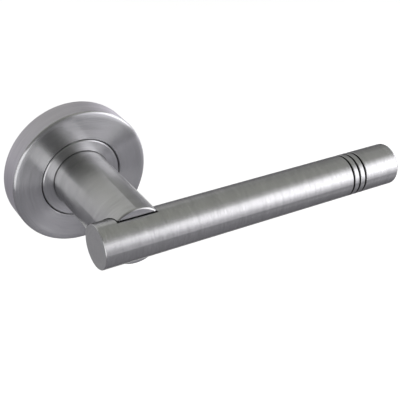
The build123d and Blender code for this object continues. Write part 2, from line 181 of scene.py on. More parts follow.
def turned(name, corners, rounds, start=(0, 0, 0), along=(0, -1, 0), side=(1, 0, 0), sides=0, steps=240,
           arc_steps=7):
    """A turned piece: an outline in millimetres carried round an axis that starts at a place in metres.

    A point at a radius, a place along the axis and an angle is start + along * place + radius * (side *
    cosine + across * sine). Where a corner has a count of sides, its radius is the half width of a regular
    polygon, divided by the cosine of the angle from the middle of the nearest flat. The map called grain
    runs along the outline in its first direction and round the axis in its second.
    """
    point, normal = outline_of(corners, rounds, arc_steps)
    ends_on_axis = corners[0][0] == 0
    flats = np.repeat(np.broadcast_to(sides, len(corners) - 2 * ends_on_axis), arc_steps)
    flats = np.pad(flats, int(ends_on_axis))[:, None]
    theta = (np.arange(steps) + 0.5) * 2 * np.pi / steps
    pitch = 2 * np.pi / np.maximum(flats, 1)
    facing_angle = np.where(flats > 0, np.round(theta / pitch) * pitch, theta)
    radius = point[:, :1] / np.cos(theta - facing_angle)
    along, side = np.array(along, float), np.array(side, float)
    across = np.cross(along, side)
    spoke = np.cos(theta)[:, None] * side + np.sin(theta)[:, None] * across
    facing = np.cos(facing_angle)[..., None] * side + np.sin(facing_angle)[..., None] * across
    position = np.array(start) + (point[:, 1, None, None] * along + radius[..., None] * spoke) * MM
    facing = normal[:, 1, None, None] * along + normal[:, 0, None, None] * facing

    rows = len(point)
    index = np.arange(rows * steps).reshape(rows, steps)
    run = np.concatenate([[0], np.cumsum(np.linalg.norm(np.diff(point, axis=0), axis=1))])
    if ends_on_axis:
        index[[0, -1]] = index[[0, -1], :1]
    else:
        index = np.vstack([index, index[:1]])
        run = np.append(run, run[-1] + np.linalg.norm(point[0] - point[-1]))
    index = np.hstack([index, index[:, :1]])
    used = np.unique(index)
    index = np.searchsorted(used, index)
    around = np.linspace(0, 2 * np.pi * point[:, 0].max(), steps + 1)
    map_u, map_v = np.meshgrid(run, around, indexing="ij")
    grain = np.stack([map_u, map_v], axis=2) / point[:, 0].max()

    quads, maps = panels(index), panels(grain)
    if ends_on_axis:
        fans = [quads[0][:, 1:], quads[-1][:, :3]]
        fan_maps = [maps[0][:, 1:], maps[-1][:, :3]]
        faces = sum((part.tolist() for part in fans), quads[1:-1].reshape(-1, 4).tolist())
        flat_maps = np.concatenate([maps[1:-1].ravel()] + [part.ravel() for part in fan_maps])
    else:
        faces, flat_maps = quads.reshape(-1, 4).tolist(), maps.ravel()
    mesh = bpy.data.meshes.new(name)
    mesh.from_pydata(position.reshape(-1, 3)[used].tolist(), [], faces)
    mesh.uv_layers.new(name="grain").data.foreach_set("uv", flat_maps.astype(np.float32))
    mesh.shade_smooth()
    mesh.normals_split_custom_set_from_vertices(facing.reshape(-1, 3)[used].tolist())
    return mesh


def depths_of(node):
    """How far a node's back and front stand out from the door, in millimetres."""
    low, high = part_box(node)
    return -high[1] / MM, -low[1] / MM


def radius_of(node, axis=0):
    """Half a node's width along an axis, in millimetres."""
    low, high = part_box(node)
    return (high[axis] - low[axis]) / 2 / MM


nylon, tree, shader = finish_of("nylon", (0.86, 0.84, 0.78), metallic=0.0, roughness=0.5)
moulded = speckle(tree, scale=900.0, detail=3.0)
tree.links.new(shade_of(tree, moulded, (0.78, 0.76, 0.69), (0.88, 0.86, 0.81)), shader.inputs["Base Color"])
tree.links.new(between(tree, moulded, 0.42, 0.58), shader.inputs["Roughness"])
raised(tree, shader, speckle(tree, scale=3000.0, detail=2.0), 0.01 * MM)

hub_radius = radius_of("spindle_hub", 2)
running_gap = 0.05
bush_wall = 1.25
bush_flange = 0.8
bush_bore = hub_radius + running_gap
bush_sleeve = bush_bore + bush_wall
bush_edge = radius_of("bearing_bush")
bush_back, bush_front = depths_of("bearing_bush")
bush_outline = [
    (bush_bore, bush_back),
    (bush_sleeve, bush_back),
    (bush_sleeve, bush_front - bush_flange),
    (bush_edge, bush_front - bush_flange),
    (bush_edge, bush_front),
    (bush_bore, bush_front),
]
bush = turned("bush", bush_outline, [0.1, 0.2, 0.1, 0.1, 0.2, 0.2], arc_steps=4)
place("bush", bush, nylon, "base", "nylon", "bearing_bush")

washer_gap = 0.1
washer_round = 0.1
washer_bore = hub_radius + washer_gap
washer_edge = radius_of("thrust_washer")
washer_back, washer_front = depths_of("thrust_washer")
washer_outline = [
    (washer_bore, washer_back),
    (washer_edge, washer_back),
    (washer_edge, washer_front),
    (washer_bore, washer_front),
]
washer = turned("running_washer", washer_outline, 4 * [washer_round], arc_steps=4)
place("running_washer", washer, nylon, "lever", "nylon", "thrust_washer")

# Grip ring: a moulded rubber ring of round section in the plate's rim, slightly dusty. The cover's wall is
# pushed over it and held by it.
rubber, tree, shader = finish_of("rubber", (0.03, 0.03, 0.03), metallic=0.0, roughness=0.62)
dust = speckle(tree, scale=500.0, detail=4.0)
dusty = shade_of(tree, dust, (0.018, 0.018, 0.018), (0.055, 0.054, 0.052))
tree.links.new(dusty, shader.inputs["Base Color"])
tree.links.new(between(tree, dust, 0.5, 0.75), shader.inputs["Roughness"])

ring_back, ring_front = depths_of("cover_grip_ring")
ring_section = (ring_front - ring_back) / 2
ring_middle = radius_of("cover_grip_ring") - ring_section
ring_corners = 8
ring_angles = (np.arange(ring_corners) * 2 + 1) * np.pi / ring_corners
corner_reach = ring_section / np.cos(np.pi / ring_corners)
ring_outline = np.stack([ring_middle + corner_reach * np.cos(ring_angles),
                         (ring_back + ring_front) / 2 + corner_reach * np.sin(ring_angles)], axis=1)
grip_ring = turned("grip_ring", ring_outline.tolist(), ring_corners * [ring_section], arc_steps=4)
place("grip_ring", grip_ring, rubber, "base", "rubber", "cover_grip_ring")


# Pins: hardened dowels with bevelled ends, pressed into the plate and the collar. Two stop the lever at
# rest and at the end of its travel, one anchors the spring, and the one in the collar drives it.
bright, tree, shader = finish_of("bright_steel", (0.52, 0.52, 0.51), metallic=1.0, roughness=0.28)
ground = speckle(tree, scale=2500.0, detail=3.0)
tree.links.new(shade_of(tree, ground, (0.44, 0.44, 0.43), (0.60, 0.60, 0.59)), shader.inputs["Base Color"])
tree.links.new(between(tree, ground, 0.20, 0.36), shader.inputs["Roughness"])

pin_radius = 0.75
pin_bevel = 0.2
pin_round = 0.06
pin_circle = 12.4
anchor_angle = 247.83
drive_pin_angle = 202.5
stop_offset = 7.63
lever_travel = 45.0
pin_places = {
    "rest_stop_pin": ("stop_pins", "base", drive_pin_angle + stop_offset),
    "end_stop_pin": ("stop_pins", "base", drive_pin_angle - lever_travel - stop_offset),
    "anchor_pin": ("spring_anchor_pin", "base", anchor_angle),
    "pusher_pin": ("drive_pin", "lever", drive_pin_angle),
}
for pin_name, (node, body, angle) in pin_places.items():
    pin_back, pin_front = depths_of(node)
    pin_outline = [
        (0, pin_back),
        (pin_radius - pin_bevel, pin_back),
        (pin_radius, pin_back + pin_bevel),
        (pin_radius, pin_front - pin_bevel),
        (pin_radius - pin_bevel, pin_front),
        (0, pin_front),
    ]
    pin_middle = pin_circle * MM * np.array([np.cos(np.radians(angle)), 0, np.sin(np.radians(angle))])
    pin = turned(pin_name, pin_outline, 4 * [pin_round], start=pin_middle, steps=48, arc_steps=4)
    place(pin_name, pin, bright, body, "plain_steel", node)


# Return spring: round spring wire wound on a mandrel, with a straight leg at each end. The back leg bears
# on the anchor pin and the front leg on the pusher pin, so the coil winds up as the lever is pressed.
def spring_wire(name, wire_radius, coil_radius, leg, back_angle, turn_angle, first_depth, last_depth):
    """A tube carried along a wound path, with closed ends.

    The path is a straight leg that meets the coil at a tangent, a helix of constant radius, and a second
    straight leg. Depth grows evenly with the length along the path. Each ring of the tube is spanned by the
    door's normal, made square to the path, and by its cross product with the path's direction. A flat face
    closes each end.
    """
    path_steps, ring_steps, crease_degrees = 400, 20, 50
    coil_length = np.radians(turn_angle) * coil_radius
    stations = np.linspace(-leg, coil_length + leg, path_steps)
    on_coil = np.clip(stations, 0, coil_length)
    angle = np.radians(back_angle) + on_coil / coil_radius
    over = (stations - on_coil)[:, None]
    spoke = np.stack([np.cos(angle), np.zeros_like(angle), np.sin(angle)], axis=1)
    heading = np.stack([-np.sin(angle), np.zeros_like(angle), np.cos(angle)], axis=1)
    path = coil_radius * spoke + over * heading
    path[:, 1] = -np.linspace(first_depth, last_depth, len(stations))
    direction = np.gradient(path, axis=0)
    direction /= np.linalg.norm(direction, axis=1, keepdims=True)
    first = np.array([0, 1, 0]) - direction[:, 1:2] * direction
    first /= np.linalg.norm(first, axis=1, keepdims=True)
    second = np.cross(direction, first)
    theta = np.arange(ring_steps) * 2 * np.pi / ring_steps
    around = np.cos(theta)[:, None] * first[:, None] + np.sin(theta)[:, None] * second[:, None]
    tube = (path[:, None] + wire_radius * around).reshape(-1, 3)
    index = np.arange(len(tube)).reshape(-1, ring_steps)
    quads = panels(np.hstack([index, index[:, :1]]))
    ends = [index[0, ::-1].tolist(), index[-1].tolist()]
    mesh = bpy.data.meshes.new(name)
    mesh.from_pydata((tube * MM).tolist(), [], quads.reshape(-1, 4).tolist() + ends)
    mesh.shade_smooth()
    mesh.set_sharp_from_angle(angle=np.radians(crease_degrees))
    return mesh


blued, tree, shader = finish_of("blued_spring_steel", (0.20, 0.21, 0.24), metallic=1.0, roughness=0.36)
temper = speckle(tree, scale=220.0, detail=4.0)
tree.links.new(shade_of(tree, temper, (0.12, 0.13, 0.17), (0.30, 0.30, 0.32)), shader.inputs["Base Color"])
tree.links.new(between(tree, temper, 0.28, 0.46), shader.inputs["Roughness"])

spring_wire_radius = 0.7
spring_coil_radius = 10.55
spring_leg = 6.516
spring_back_angle = 285.163
spring_turn_angle = 600.0
spring_back, spring_front = depths_of("return_spring")
spring_first = spring_back + spring_wire_radius
spring_last = spring_front - spring_wire_radius
spring_mesh = spring_wire("wound_spring", spring_wire_radius, spring_coil_radius, spring_leg,
                          spring_back_angle, spring_turn_angle, spring_first, spring_last)
spring_mesh.materials.append(blued)
spring = bpy.data.objects.new("wound_spring", spring_mesh)
bpy.context.collection.objects.link(spring)
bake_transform(spring)
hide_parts("return_spring")


# Spindle hub: a turned steel sleeve with a broached square socket for the lock's spindle and a groove near
# its back. An open spring ring in the groove and a coned spring washer hold the lever against the plate.
hub_back, hub_front = depths_of("spindle_hub")
socket_half = 4.1
hub_bevel = 0.3
ring_seat_depth = 0.6
ring_seat = hub_radius - ring_seat_depth
ring_seat_back, ring_seat_front = 0.8, 1.8
hub_outline = [
    (socket_half, hub_back),
    (hub_radius - hub_bevel, hub_back),
    (hub_radius, hub_back + hub_bevel),
    (hub_radius, ring_seat_back),
    (ring_seat, ring_seat_back),
    (ring_seat, ring_seat_front),
    (hub_radius, ring_seat_front),
    (hub_radius, hub_front),
    (socket_half, hub_front),
]
hub_rounds = [0.15, 0.04, 0.04, 0.04, 0.05, 0.05, 0.04, 0.2, 0.15]
hub_sides = [4, 0, 0, 0, 0, 0, 0, 0, 4]
hub = turned("spindle_sleeve", hub_outline, hub_rounds, sides=hub_sides, steps=256, arc_steps=4)
place("spindle_sleeve", hub, bright, "lever", "plain_steel", "spindle_hub")
place("snap_ring", smooth_copy("retaining_ring"), blued, "lever", "spring_steel", "retaining_ring")

cone_back, cone_front = depths_of("disc_washer")
cone_sheet = 0.3
cone_round = 0.04
cone_outline = [
    (washer_bore, cone_back),
    (washer_edge, cone_front - cone_sheet),
    (washer_edge, cone_front),
    (washer_bore, cone_back + cone_sheet),
]
cone = turned("coned_washer", cone_outline, 4 * [cone_round], arc_steps=4)
place("coned_washer", cone, blued, "lever", "spring_steel", "disc_washer")


# Collar: a stainless ring turned in the lathe, pressed on the hub. Its front lies flush with the cover,
# with a fine open gap all round, and is sunk a little round the foot of the neck.
def lathe_grain():
    """A shared effect: fine turning lines round an axis.

    The input vector has the axis along Z. The lines are a noise that changes fast with the radius and with
    the place along the axis, and slowly with the direction round it. A slower noise of the same form groups
    the lines into bands, and a third one clouds the surface.
    """
    group = bpy.data.node_groups.new("lathe_grain", "ShaderNodeTree")
    for socket, kind in (("Vector", "Vector"), ("Lines", "Float"), ("Sweep", "Float")):
        group.interface.new_socket(socket, in_out="INPUT", socket_type="NodeSocket" + kind)
    for socket in ("Grain", "Bands", "Cloud"):
        group.interface.new_socket(socket, in_out="OUTPUT", socket_type="NodeSocketFloat")
    inputs = add(group, "NodeGroupInput")
    outputs = add(group, "NodeGroupOutput")
    parts = add(group, "ShaderNodeSeparateXYZ")
    flat = add(group, "ShaderNodeVectorMath", {1: (1, 1, 0)}, operation="MULTIPLY")
    radius = add(group, "ShaderNodeVectorMath", operation="LENGTH")
    heading = add(group, "ShaderNodeVectorMath", operation="NORMALIZE")
    swept = add(group, "ShaderNodeVectorMath", operation="SCALE")
    fine_radius = add(group, "ShaderNodeMath", operation="MULTIPLY")
    fine_place = add(group, "ShaderNodeMath", operation="MULTIPLY")
    stack = add(group, "ShaderNodeCombineXYZ")
    level = add(group, "ShaderNodeVectorMath", operation="ADD")
    link = group.links.new
    link(inputs.outputs["Vector"], parts.inputs[0])
    link(inputs.outputs["Vector"], flat.inputs[0])
    link(flat.outputs[0], radius.inputs[0])
    link(flat.outputs[0], heading.inputs[0])
    link(heading.outputs[0], swept.inputs[0])
    link(inputs.outputs["Sweep"], swept.inputs["Scale"])
    link(radius.outputs["Value"], fine_radius.inputs[0])
    link(parts.outputs["Z"], fine_place.inputs[0])
    for fine in (fine_radius, fine_place):
        link(inputs.outputs["Lines"], fine.inputs[1])
    link(fine_radius.outputs[0], stack.inputs["Z"])
    link(swept.outputs[0], level.inputs[0])
    link(stack.outputs[0], level.inputs[1])
    for socket, scale, detail in (("Grain", 1.0, 3.0), ("Bands", 0.13, 2.0)):
        noise = add(group, "ShaderNodeTexNoise", {"Scale": scale, "Detail": detail}, noise_dimensions="4D")
        link(level.outputs[0], noise.inputs["Vector"])
        link(fine_place.outputs[0], noise.inputs["W"])
        link(noise.outputs["Fac"], outputs.inputs[socket])
    cloud = add(group, "ShaderNodeTexNoise", {"Scale": 90.0, "Detail": 3.0})
    link(inputs.outputs["Vector"], cloud.inputs["Vector"])
    link(cloud.outputs["Fac"], outputs.inputs["Cloud"])
    return group


grain_group = lathe_grain()
AXIS_Y = (np.pi / 2, 0, 0)
AXIS_X = (0, np.pi / 2, 0)


def lathe_steel(name, dark, light, smooth, rough, stretch, edge, turn, middle=(0, 0, 0)):
    """Brushed stainless steel whose fine lines run round an axis.

    The lines and their bands, mixed, shade the metal from dark to light. The lines stand out by about a
    thousandth of a millimetre, and the cloud varies the roughness from smooth to rough. The shader spreads
    its reflections across the lines, along the first direction of the map called grain.
    """
    grain_share, band_share = 0.65, 0.35
    darkest, lightest = 0.3, 0.7
    line_height = 0.0012 * MM
    material, tree, shader = finish_of(name, light, 1.0, rough)
    axis = add(tree, "ShaderNodeMapping", {"Location": middle, "Rotation": turn}, vector_type="TEXTURE")
    grain = add(tree, "ShaderNodeGroup", {"Lines": 2600.0, "Sweep": 2.5}, node_tree=grain_group)
    banding = add(tree, "ShaderNodeMath", {1: band_share}, operation="MULTIPLY")
    lining = add(tree, "ShaderNodeMath", {1: grain_share}, operation="MULTIPLY_ADD")
    tangent = add(tree, "ShaderNodeTangent", direction_type="UV_MAP", uv_map="grain")
    link = tree.links.new
    link(add(tree, "ShaderNodeTexCoord").outputs["Object"], axis.inputs["Vector"])
    link(axis.outputs[0], grain.inputs["Vector"])
    link(grain.outputs["Bands"], banding.inputs[0])
    link(grain.outputs["Grain"], lining.inputs[0])
    link(banding.outputs[0], lining.inputs[2])
    link(shade_of(tree, lining.outputs[0], dark, light, darkest, lightest), shader.inputs["Base Color"])
    link(between(tree, grain.outputs["Cloud"], smooth, rough), shader.inputs["Roughness"])
    raised(tree, shader, grain.outputs["Grain"], line_height)
    shader.inputs["Anisotropic"].default_value = stretch
    shader.inputs["Specular Tint"].default_value = (edge, edge, edge, 1)
    link(tangent.outputs[0], shader.inputs["Tangent"])
    return material


turned_steel = lathe_steel("turned_steel", (0.56, 0.56, 0.57), (0.71, 0.71, 0.72), smooth=0.27, rough=0.30,
                           stretch=1.0, edge=1.0, turn=AXIS_Y)
press_gap = 0.02
press_bore = hub_radius + press_gap
collar_radius = radius_of("collar_ring")
collar_back, collar_front = depths_of("collar_ring")
collar_bevel = 0.35
neck_radius = radius_of("neck", 2)
neck_back, neck_front = depths_of("neck")
neck_gap = 0.3
collar_outline = [
    (press_bore, collar_back),
    (collar_radius, collar_back),
    (collar_radius, collar_front - collar_bevel),
    (collar_radius - collar_bevel, collar_front),
    (neck_radius + neck_gap, collar_front),
    (neck_radius + neck_gap, neck_back),
    (press_bore, neck_back),
]
collar_rounds = [0.05, 0.1, 0.06, 0.06, 0.06, 0.05, 0.05]
collar = turned("collar", collar_outline, collar_rounds, steps=320, arc_steps=5)
place("collar", collar, turned_steel, "lever", "spun_steel", "collar_ring")


# Rose cover: a round cap pressed from stainless sheet and spun to a fine circular grain. Its front edge is
# rounded, its hole has a broken edge round the collar, and it is pushed on over the plate's rubber ring.
def middles_of(mesh):
    """The middle of each face of a mesh, in rows."""
    middles = np.empty(3 * len(mesh.polygons), np.float32)
    mesh.polygons.foreach_get("center", middles)
    return middles.reshape(-1, 3)


def second_finish(mesh, material, chosen):
    """Gives the chosen faces of a mesh a second material."""
    mesh.materials.append(material)
    mesh.polygons.foreach_set("material_index", chosen.astype(np.int32))


spun = lathe_steel("spun_steel", (0.56, 0.56, 0.57), (0.71, 0.71, 0.72), smooth=0.25, rough=0.28,
                   stretch=1.0, edge=0.75, turn=AXIS_Y)
# The side wall has a rougher finish than the face, and is painted lighter and a little lilac as painted light
# on the wall.
lit_spun_wall = lathe_steel("spun_steel_wall_lit", (0.63, 0.61, 0.65), (0.79, 0.77, 0.81), smooth=0.48, rough=0.54,
                        stretch=0.7, edge=0.75, turn=AXIS_Y)
rose_radius = radius_of("rose_cover")
rose_back, rose_front = depths_of("rose_cover")
rose_wall = 1.0
edge_fall, edge_reach = 0.3, 1.7
cover_gap = 0.4
hole_radius = collar_radius + cover_gap
hole_bevel = 0.3
rose_outline = [
    (rose_radius - rose_wall, rose_back),
    (rose_radius, rose_back),
    (rose_radius, rose_front - edge_fall),
    (rose_radius - edge_reach, rose_front),
    (hole_radius + hole_bevel, rose_front),
    (hole_radius, rose_front - hole_bevel),
    (hole_radius, rose_front - rose_wall),
    (rose_radius - rose_wall, rose_front - rose_wall),
]
rose_rounds = [0.15, 0.25, 1.1, 8.0, 0.06, 0.06, 0.06, 0.25]
rose = turned("rose", rose_outline, rose_rounds, steps=360, arc_steps=13)
place("rose", rose, spun, "cover", "spun_steel", "rose_cover")
rose_middles = middles_of(rose)
wall_margin = 0.02
on_wall = np.hypot(rose_middles[:, 0], rose_middles[:, 2]) > (rose_radius - wall_margin) * MM
second_finish(rose, lit_spun_wall, on_wall)


# Neck: a shank turned from stainless bar and brushed round its axis. A half-round saddle is milled across
# its front end for the grip bar, its trough painted near black as painted shade in the gap round the bar,
# with a faced crescent-shaped lip above and below the bar.
def saddle_neck(name, radius, back, front, lip_round, saddle_radius, saddle_axis, bore_radius, bore_front):
    """A round shank with a trough across its front, as one closed surface.

    The trough at an angle phi from its bottom has the height saddle_radius * sine and the depth saddle_axis
    - saddle_radius * cosine. The rim runs along one side of the trough, over the lip's rounded edge, along
    the other side and over the second lip. From each rim point a line runs down the wall at that point's
    own angle: the lip's quarter round first, then the straight wall, the foot, the bore and the bottom of
    the bore. Its points stand closer towards the rim. The lips are ruled between their arc and their chord,
    and the trough is ruled from side to side.
    """
    trough_steps, lip_steps, wall_steps, across_steps, lip_rows = 72, 64, 40, 12, 7
    rim_crowding = 2.2
    bore_middle = 1e-4
    join_distance = 0.002 * MM
    straight = front - lip_round - back
    phi_end = np.arccos((saddle_axis - front) / saddle_radius)
    phi = np.linspace(-phi_end, phi_end, trough_steps + 1)
    trough_z = saddle_radius * np.sin(phi)
    trough_depth = saddle_axis - saddle_radius * np.cos(phi)

    def wall_radius(run):
        """The radius at a run up the wall: even, then less by lip_round * (1 - the cosine of the bend)."""
        bend = np.clip((run - straight) / lip_round, 0, np.pi / 2)
        return radius - lip_round + lip_round * np.cos(bend)

    def wall_depth(run):
        """The depth at a run up the wall: it grows evenly, then by lip_round * the sine of the bend."""
        bend = np.clip((run - straight) / lip_round, 0, np.pi / 2)
        return back + np.minimum(run, straight) + lip_round * np.sin(bend)

    above = np.clip((trough_depth - back - straight) / lip_round, 0, 1)
    trough_run = np.minimum(trough_depth - back, straight) + lip_round * np.arcsin(above)
    trough_angle = np.arcsin(trough_z / wall_radius(trough_run))
    lip_angle = np.linspace(trough_angle[-1], np.pi - trough_angle[-1], lip_steps + 1)
    full_run = straight + lip_round * np.pi / 2
    half_rim = np.concatenate([trough_angle[:-1], lip_angle[:-1]])
    rim_angle = np.concatenate([half_rim, np.pi + half_rim])
    rim_run = np.concatenate([trough_run[:-1], np.full(lip_steps, full_run)] * 2)

    share = 1 - (1 - np.linspace(0, 1, wall_steps)) ** rim_crowding
    run = share[:, None] * rim_run
    wall_r, wall_d = wall_radius(run), wall_depth(run)
    inner_r = np.array([bore_middle, bore_radius, bore_radius])[:, None] + 0 * rim_run
    inner_d = np.array([bore_front, bore_front, back])[:, None] + 0 * rim_run
    column_r, column_d = np.vstack([inner_r, wall_r]), np.vstack([inner_d, wall_d])
    columns = np.stack([column_r * np.cos(rim_angle), -column_d, column_r * np.sin(rim_angle)], axis=2)
    columns = np.concatenate([columns, columns[:, :1]], axis=1)

    across = np.linspace(-1, 1, across_steps + 1)[:, None]
    trough_x = across * (wall_radius(trough_run) * np.cos(trough_angle))
    trough = np.stack([trough_x, -trough_depth + 0 * trough_x, trough_z + 0 * trough_x], axis=2)
    lip_r = radius - lip_round
    out = np.linspace(0, 1, lip_rows)[:, None]
    chord = trough_z[-1]
    lip_x = lip_r * np.cos(lip_angle) + 0 * out
    lip_z = chord + out * (lip_r * np.sin(lip_angle) - chord)
    upper = np.stack([lip_x, -front + 0 * lip_x, lip_z], axis=2)
    lower = upper[:, ::-1] * np.array([1, 1, -1])

    points, faces, maps, zones = [], [], [], []
    start = 0
    for zone, grid in ((0, columns), (1, trough), (2, upper), (2, lower)):
        index = np.arange(start, start + grid.shape[0] * grid.shape[1]).reshape(grid.shape[:2])
        start = index[-1, -1] + 1
        run_u = np.linspace(0, 1, grid.shape[0])[:, None] + np.zeros(grid.shape[1])
        run_v = np.linspace(0, 1, grid.shape[1]) + np.zeros((grid.shape[0], 1))
        uv = np.stack([run_u, run_v], axis=2)
        points.append(grid.reshape(-1, 3))
        for table, pile in ((index, faces), (uv, maps)):
            panel = panels(table)
            pile.append(panel.reshape((-1,) + panel.shape[2:]))
        zones += len(faces[-1]) * [zone]
    mesh = bpy.data.meshes.new(name)
    mesh.from_pydata((np.concatenate(points) * MM).tolist(), [], np.concatenate(faces).tolist())
    mesh.uv_layers.new(name="grain").data.foreach_set("uv", np.concatenate(maps).astype(np.float32).ravel())
    mesh.polygons.foreach_set("material_index", zones)
    joined = bmesh.new()
    joined.from_mesh(mesh)
    bmesh.ops.remove_doubles(joined, verts=joined.verts, dist=join_distance)
    bmesh.ops.recalc_face_normals(joined, faces=joined.faces)
    joined.to_mesh(mesh)
    joined.free()
    mesh.shade_smooth()
    return mesh


satin_neck = lathe_steel("satin_steel_neck", (0.53, 0.53, 0.53), (0.67, 0.67, 0.67), smooth=0.20, rough=0.23,
                         stretch=1.0, edge=0.7, turn=AXIS_Y)
# Painted light: the lip is the shank's own steel, painted lighter and a little lilac to stand in for the
# light on it.
lit_faced_lip = lathe_steel("faced_steel_lip_lit", (0.60, 0.60, 0.62), (0.76, 0.76, 0.78), smooth=0.30, rough=0.36,
                        stretch=0.0, edge=0.8, turn=AXIS_Y)
# Painted shade: a near-black steel for the saddle's trough and the bar's grooves, where shade falls in the
# gap and the hollows.
painted_shade_steel, tree, shader = finish_of("steel_painted_shade", (0.09, 0.09, 0.09), metallic=1.0, roughness=0.5)
shade_speckle = speckle(tree, scale=1800.0, detail=3.0)
tree.links.new(shade_of(tree, shade_speckle, (0.05, 0.05, 0.05), (0.13, 0.13, 0.13)), shader.inputs["Base Color"])
tree.links.new(between(tree, shade_speckle, 0.4, 0.6), shader.inputs["Roughness"])
bar_radius = radius_of("bar_tube", 2)
bar_depth = np.mean(depths_of("bar_tube"))
lip_round = 0.6
saddle_gap = 0.2
neck_web = 4.5
web_back = bar_depth - bar_radius - press_gap - neck_web
neck_mesh = saddle_neck("shank", neck_radius, neck_back, neck_front, lip_round, bar_radius + saddle_gap,
                        bar_depth, press_bore, web_back)
neck = place("shank", neck_mesh, satin_neck, "lever", "satin_steel", "neck")
neck_mesh.materials.append(painted_shade_steel)
neck_mesh.materials.append(lit_faced_lip)
broken_edge = neck.modifiers.new("broken_edge", "BEVEL")
broken_edge.width = 0.12 * MM
broken_edge.segments = 3
broken_edge.limit_method = "ANGLE"
broken_edge.angle_limit = np.radians(35)
broken_edge.harden_normals = True


# Clamp screw and bar screw: black oxide socket screws. The small one sits in the underside of the neck and
# clamps the spindle. The large one, with a split washer, goes into a round nut in the bar and pulls the bar
# into the saddle from inside.
black, tree, shader = finish_of("black_oxide", (0.035, 0.035, 0.038), metallic=0.6, roughness=0.45)
oxide = speckle(tree, scale=700.0, detail=4.0)
blackened = shade_of(tree, oxide, (0.020, 0.020, 0.022), (0.060, 0.060, 0.064))
tree.links.new(blackened, shader.inputs["Base Color"])
tree.links.new(between(tree, oxide, 0.36, 0.55), shader.inputs["Roughness"])


def thread_of(radius, start, end, pitch):
    """The ridges of a screw thread as outline corners: from crest to root and back once in each pitch."""
    crest_end, root, root_depth = 0.1 * pitch, 0.55 * pitch, 0.55 * pitch
    return [(radius - depth, ridge + shift)
            for ridge in np.arange(start, end - pitch, pitch)
            for depth, shift in ((0, crest_end), (root_depth, root), (0, pitch))]


clamp_radius = radius_of("grub_screw")
clamp_low, clamp_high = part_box("grub_screw")
clamp_tip, clamp_head = -clamp_high[2] / MM, -clamp_low[2] / MM
clamp_depth = np.mean(depths_of("grub_screw"))
clamp_socket, clamp_socket_depth = 1.25, 2.5
clamp_point, clamp_rim = 0.6, 0.4
clamp_lead, clamp_pitch = 0.5, 0.8
clamp_round = 0.04
clamp_thread = thread_of(clamp_radius, clamp_tip + clamp_lead, clamp_head - clamp_rim, clamp_pitch)
clamp_outline = [
    (0, clamp_tip),
    (clamp_radius - clamp_point, clamp_tip),
    *clamp_thread,
    (clamp_radius - clamp_rim, clamp_head),
    (clamp_socket, clamp_head),
    (clamp_socket, clamp_head - clamp_socket_depth),
    (0, clamp_head - clamp_socket_depth),
]
clamp_sides = (2 + len(clamp_thread)) * [0] + 2 * [6]
clamp = turned("clamp_screw", clamp_outline, len(clamp_sides) * [clamp_round],
               start=(0, -clamp_depth * MM, 0), along=(0, 0, -1), sides=clamp_sides, steps=96, arc_steps=3)
place("clamp_screw", clamp, black, "lever", "black_steel", "grub_screw")

bolt_back, bolt_tip = depths_of("neck_screw")
bolt_radius = 3.0
bolt_head, bolt_head_height = radius_of("neck_screw"), 6.0
bolt_head_front = bolt_back + bolt_head_height
bolt_socket, bolt_socket_depth = 2.5, 3.0
bolt_shank, bolt_pitch = 6.5, 1.0
bolt_rim, bolt_point = 0.4, 0.6
bolt_round = 0.05
bolt_thread = thread_of(bolt_radius, bolt_head_front + bolt_shank, bolt_tip - bolt_rim, bolt_pitch)
bolt_outline = [
    (0, bolt_back + bolt_socket_depth),
    (bolt_socket, bolt_back + bolt_socket_depth),
    (bolt_socket, bolt_back),
    (bolt_head - bolt_rim, bolt_back),
    (bolt_head, bolt_back + bolt_rim),
    (bolt_head, bolt_head_front),
    (bolt_radius, bolt_head_front),
    *bolt_thread,
    (bolt_radius - bolt_point, bolt_tip),
    (0, bolt_tip),
]
bolt_sides = 2 * [6] + (5 + len(bolt_thread)) * [0]
bolt = turned("bar_screw", bolt_outline, len(bolt_sides) * [bolt_round], sides=bolt_sides, steps=96,
              arc_steps=3)
place("bar_screw", bolt, black, "lever", "black_steel", "neck_screw")
place("split_washer", smooth_copy("lock_washer"), blued, "lever", "spring_steel", "lock_washer")
place("bar_nut", smooth_copy("saddle_nut"), bright, "lever", "plain_steel", "saddle_nut")


# Grip bar and end caps: a stainless tube brushed round its axis, with three narrow grooves turned near its
# free end, their faces painted near black as painted shade in the hollows, and a line of painted shade on the
# tube in the seam along the neck's lips, where shade falls between the parts. A faced plug closes each end,
# flush with the tube: the near one has a bevelled edge and the far one a rounded edge.
bar_middle = (0, -bar_depth * MM, 0)
satin_bar = lathe_steel("satin_steel_bar", (0.53, 0.53, 0.53), (0.67, 0.67, 0.67), smooth=0.25, rough=0.27,
                        stretch=0.85, edge=0.5, turn=AXIS_X, middle=bar_middle)
faced_end = lathe_steel("faced_steel_end", (0.70, 0.70, 0.69), (0.84, 0.84, 0.83), smooth=0.34, rough=0.40,
                        stretch=0.0, edge=0.8, turn=AXIS_X, middle=bar_middle)
